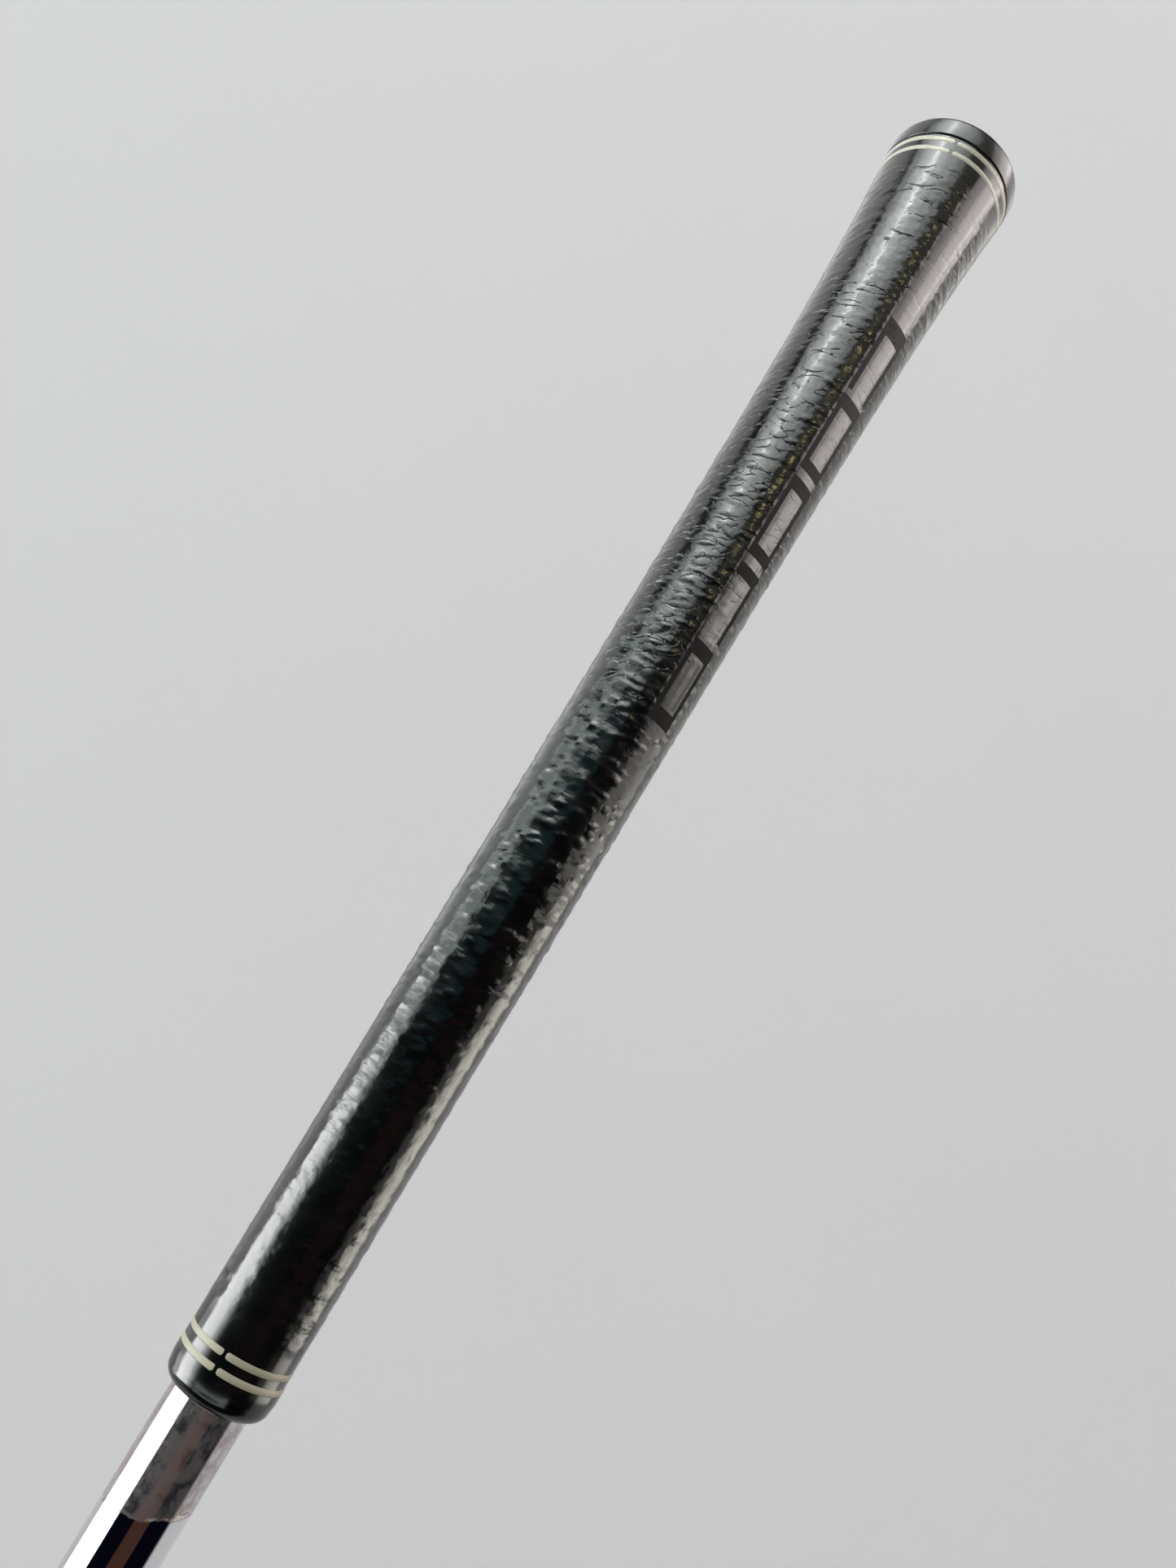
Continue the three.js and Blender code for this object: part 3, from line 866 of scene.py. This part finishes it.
def floor_card():
    """Pale card, very slightly mottled."""
    material, tree, shader = new_material("floor_card")
    mottle = noise(tree, 90 * MM, 90 * MM, detail=3.0)
    tree.links.new(mixed_colour(tree, mottle, CARD, MOTTLED_CARD), shader.inputs["Base Color"])
    shader.inputs["Roughness"].default_value = CARD_ROUGHNESS
    shader.inputs["Specular IOR Level"].default_value = CARD_SPECULAR
    return material


# ---- the object ----

blocks = label_blocks()
cap = end_cap()
tube = shaft()
tape = grip_tape()
sleeve = grip_sleeve(blocks)
rings = [ring_half(ring, half) for ring in RINGS for half in ("left", "right")]
frames = [label_frame(number, block) for number, block in enumerate(blocks, start=1)]
lines = [label_line(number, angles) for number, angles in enumerate(LINE_ANGLES, start=1)]

frame_ink = printed_ink("label_ink", FRAME_INK, WORN_FRAME_INK, FRAME_INK_ROUGHNESS, FRAME_INK_AGED)
line_ink = printed_ink("label_line_ink", LINE_INK, WORN_LINE_INK, LINE_INK_ROUGHNESS, LINE_INK_AGED)
finishes = {
    rubber(): [sleeve],
    cap_rubber(): [cap],
    ring_paint(): rings,
    frame_ink: frames,
    line_ink: lines,
    chrome(): [tube],
    crepe_paper(): [tape],
}
for material, coated in finishes.items():
    for piece in coated:
        piece.data.materials.append(material)
        piece.visible_diffuse = False  # so that it doesn't darken the floor round it

# the tube's first band of faces is its plated outside, and the rest is bare steel
tube.data.materials.append(raw_steel())
for polygon in tube.data.polygons:
    if polygon.index >= ROUND:
        polygon.material_index = 1

# ---- floor ----

FLOOR_SIZE = 6.0
FLOOR_GAP = 0.02 * MM
cap_touch = Vector((BUTT_X - CAP_EDGE_RADIUS, 0, AXIS_Z - CAP_RADIUS))
lip_touch = Vector((BUTT_X - LIP_STATION, 0, AXIS_Z - LIP_RADIUS))
floor_slope = (cap_touch.z - lip_touch.z) / (cap_touch.x - lip_touch.x)


def floor_height(x):
    """The floor touches the cap and the lip, which makes it slope a little along the grip."""
    return cap_touch.z + floor_slope * (x - cap_touch.x) - FLOOR_GAP


half = FLOOR_SIZE / 2
corners = ((-half, -half), (half, -half), (half, half), (-half, half))
floor_mesh = bpy.data.meshes.new("floor")
floor_mesh.from_pydata([(x, y, floor_height(x)) for x, y in corners], [], [(0, 1, 2, 3)])
floor = bpy.data.objects.new("floor", floor_mesh)
bpy.context.scene.collection.objects.link(floor)
floor_mesh.materials.append(floor_card())
floor.visible_glossy = False
floor.visible_shadow = False

# ---- light ----

WHITE = (1.0, 1.0, 1.0)
COOL = (0.94, 1.0, 0.97)
GREENISH = (0.85, 1.0, 0.94)
PINK = (1.0, 0.92, 0.885)
BEIGE = (1.0, 0.96, 0.84)
TEAL = (0.4, 0.95, 1.0)
WARM = (1.0, 0.84, 0.32)
RUST = (1.0, 0.35, 0.3)
BROWN = (1.0, 0.45, 0.22)
LIGHT_DISTANCE = 2.6


def placed(centre, x_axis, y_axis, z_axis):
    """The matrix of an object with its centre and axes here."""
    return Matrix.Translation(centre) @ Matrix((x_axis, y_axis, z_axis)).transposed().to_4x4()


def soft_panel(name, across, along, radiance, colour):
    """A soft panel facing the grip. It spans these angles round the axis and, along the grip, directions
    whose X part lies between these values."""
    turn = math.radians(sum(across) / 2)
    turn_span = math.radians(across[1] - across[0])
    first_lean, last_lean = math.asin(along[0]), math.asin(along[1])
    lean = (first_lean + last_lean) / 2
    lean_span = last_lean - first_lean
    outward = Vector((0, math.sin(turn), math.cos(turn)))
    towards = Vector((math.sin(lean), 0, 0)) + math.cos(lean) * outward
    right = Vector((math.cos(lean), 0, 0)) - math.sin(lean) * outward
    up = Vector((0, math.cos(turn), -math.sin(turn)))
    light = bpy.data.lights.new(name, "AREA")
    light.shape = "RECTANGLE"
    light.size = 2 * LIGHT_DISTANCE * math.tan(lean_span / 2)
    light.size_y = 2 * LIGHT_DISTANCE * math.cos(lean) * math.tan(turn_span / 2)
    light.energy = radiance * math.pi * light.size * light.size_y
    light.color = colour
    light.use_shadow = False
    panel = bpy.data.objects.new(name, light)
    centre = Vector((0, 0, AXIS_Z)) + towards * LIGHT_DISTANCE
    panel.matrix_world = placed(centre, right, up, towards)
    panel.visible_camera = False
    bpy.context.scene.collection.objects.link(panel)


# a window over the butt, brightest in its middle, with what is below and beside it
soft_panel("window", (-5, 70), (0.38, 0.84), 2.9, COOL)
soft_panel("window_middle", (7, 62), (0.34, 0.84), 2.2, COOL)
soft_panel("window_core", (22, 57), (0.43, 0.84), 2.3, WHITE)
soft_panel("window_heart", (35, 49), (0.50, 0.84), 2.2, WHITE)
soft_panel("window_lamp", (38, 41.5), (0.53, 0.80), 15.0, WHITE)
soft_panel("window_foot", (30, 68), (0.20, 0.36), 2.0, GREENISH)
soft_panel("window_shade", (-6, 44), (0.0, 0.34), 0.2, TEAL)
soft_panel("window_wall", (-36, -8), (0.36, 0.84), 0.4, BEIGE)
# a long strip over the half near the mouth and the shaft
soft_panel("strip", (52, 94), (-0.60, 0.34), 3.0, GREENISH)
soft_panel("strip_near", (57, 99), (-0.60, 0.02), 3.2, WHITE)
soft_panel("strip_end", (64, 98), (-0.60, -0.08), 7.8, WHITE)
# the other side: a broad fill by the butt, a line along it, and its dimmer run towards the mouth
soft_panel("side_fill", (-84, -41.5), (0.37, 0.86), 3.5, PINK)
soft_panel("side_fill_core", (-84, -58), (0.41, 0.86), 3.2, PINK)
soft_panel("side_line", (-92, -82), (0.37, 0.86), 5.5, PINK)
soft_panel("cap_side_fill", (-150, -96), (0.68, 0.86), 0.8, PINK)
soft_panel("side_line_foot", (-118, -54), (0.14, 0.37), 1.7, BEIGE)
soft_panel("side_line_near", (-118, -83), (-0.31, 0.14), 3.4, BEIGE)
soft_panel("side_line_near_core", (-112, -92), (-0.22, 0.10), 2.0, BEIGE)
soft_panel("side_line_near_edge", (-82, -66), (-0.28, 0.08), 0.55, BEIGE)
# a small yellow lamp and faint tints of the room between the two sides
soft_panel("room_lamp", (-22, -18), (0.52, 0.545), 32.0, WARM)
soft_panel("room_bounce", (-50, -12), (-0.28, -0.02), 0.10, RUST)
soft_panel("room_door", (-32, 6), (-0.60, -0.30), 0.06, BROWN)
soft_panel("room_end", (-32, 46), (-0.70, -0.58), 2.6, GREENISH)
# low light from both sides
soft_panel("low_left", (88, 150), (-0.27, 0.90), 0.72, WHITE)
soft_panel("low_left_foot", (86, 150), (0.0, 0.36), 0.5, GREENISH)
soft_panel("low_left_end", (99, 118), (-0.60, -0.29), 3.0, WHITE)
soft_panel("low_right", (-150, -94), (-0.27, 0.90), 0.34, BEIGE)

# the surroundings are pale up to the horizon and dark above it
HORIZON, OVERHEAD = (0.60, 0.60, 0.605), (0.002, 0.002, 0.006)
HORIZON_FADE = (0.0, 0.19)  # the Z part of the directions between which they darken

world = bpy.data.worlds.new("studio")
bpy.context.scene.world = world
world.use_nodes = True
sky = world.node_tree
direction = add(sky, "ShaderNodeTexCoord").outputs["Generated"]
elevation = add(sky, "ShaderNodeSeparateXYZ", {0: direction}).outputs["Z"]
sky_colour = mixed_colour(sky, mapped(sky, elevation, HORIZON_FADE), HORIZON, OVERHEAD)
sky.links.new(sky_colour, sky.nodes["Background"].inputs["Color"])

# ---- camera ----

CAMERA_STATION = 207.2 * MM
CAMERA_HEIGHT = 200.84 * MM  # above the grip's axis
CAMERA_TILT = math.radians(14.9)  # towards the butt
CAMERA_SIDE_LEAN = math.radians(-0.185)
CAMERA_ROLL = math.radians(31.17)
LENS, SENSOR_WIDTH = 27.0, 36.0  # mm

looking = Vector((math.sin(CAMERA_TILT), math.sin(CAMERA_SIDE_LEAN), -math.cos(CAMERA_TILT))).normalized()
level_right = looking.cross(Vector((1, 0, 0))).normalized()
level_up = level_right.cross(looking)
camera_up = level_up * math.cos(CAMERA_ROLL) - level_right * math.sin(CAMERA_ROLL)
camera_right = looking.cross(camera_up)
camera_data = bpy.data.cameras.new("camera")
camera_data.lens = LENS
camera_data.sensor_width = SENSOR_WIDTH
camera = bpy.data.objects.new("camera", camera_data)
camera_place = Vector((BUTT_X - CAMERA_STATION, 0, AXIS_Z + CAMERA_HEIGHT))
camera.matrix_world = placed(camera_place, camera_right, camera_up, -looking)
bpy.context.scene.collection.objects.link(camera)
bpy.context.scene.camera = camera
bpy.context.scene.view_settings.view_transform = "Standard"
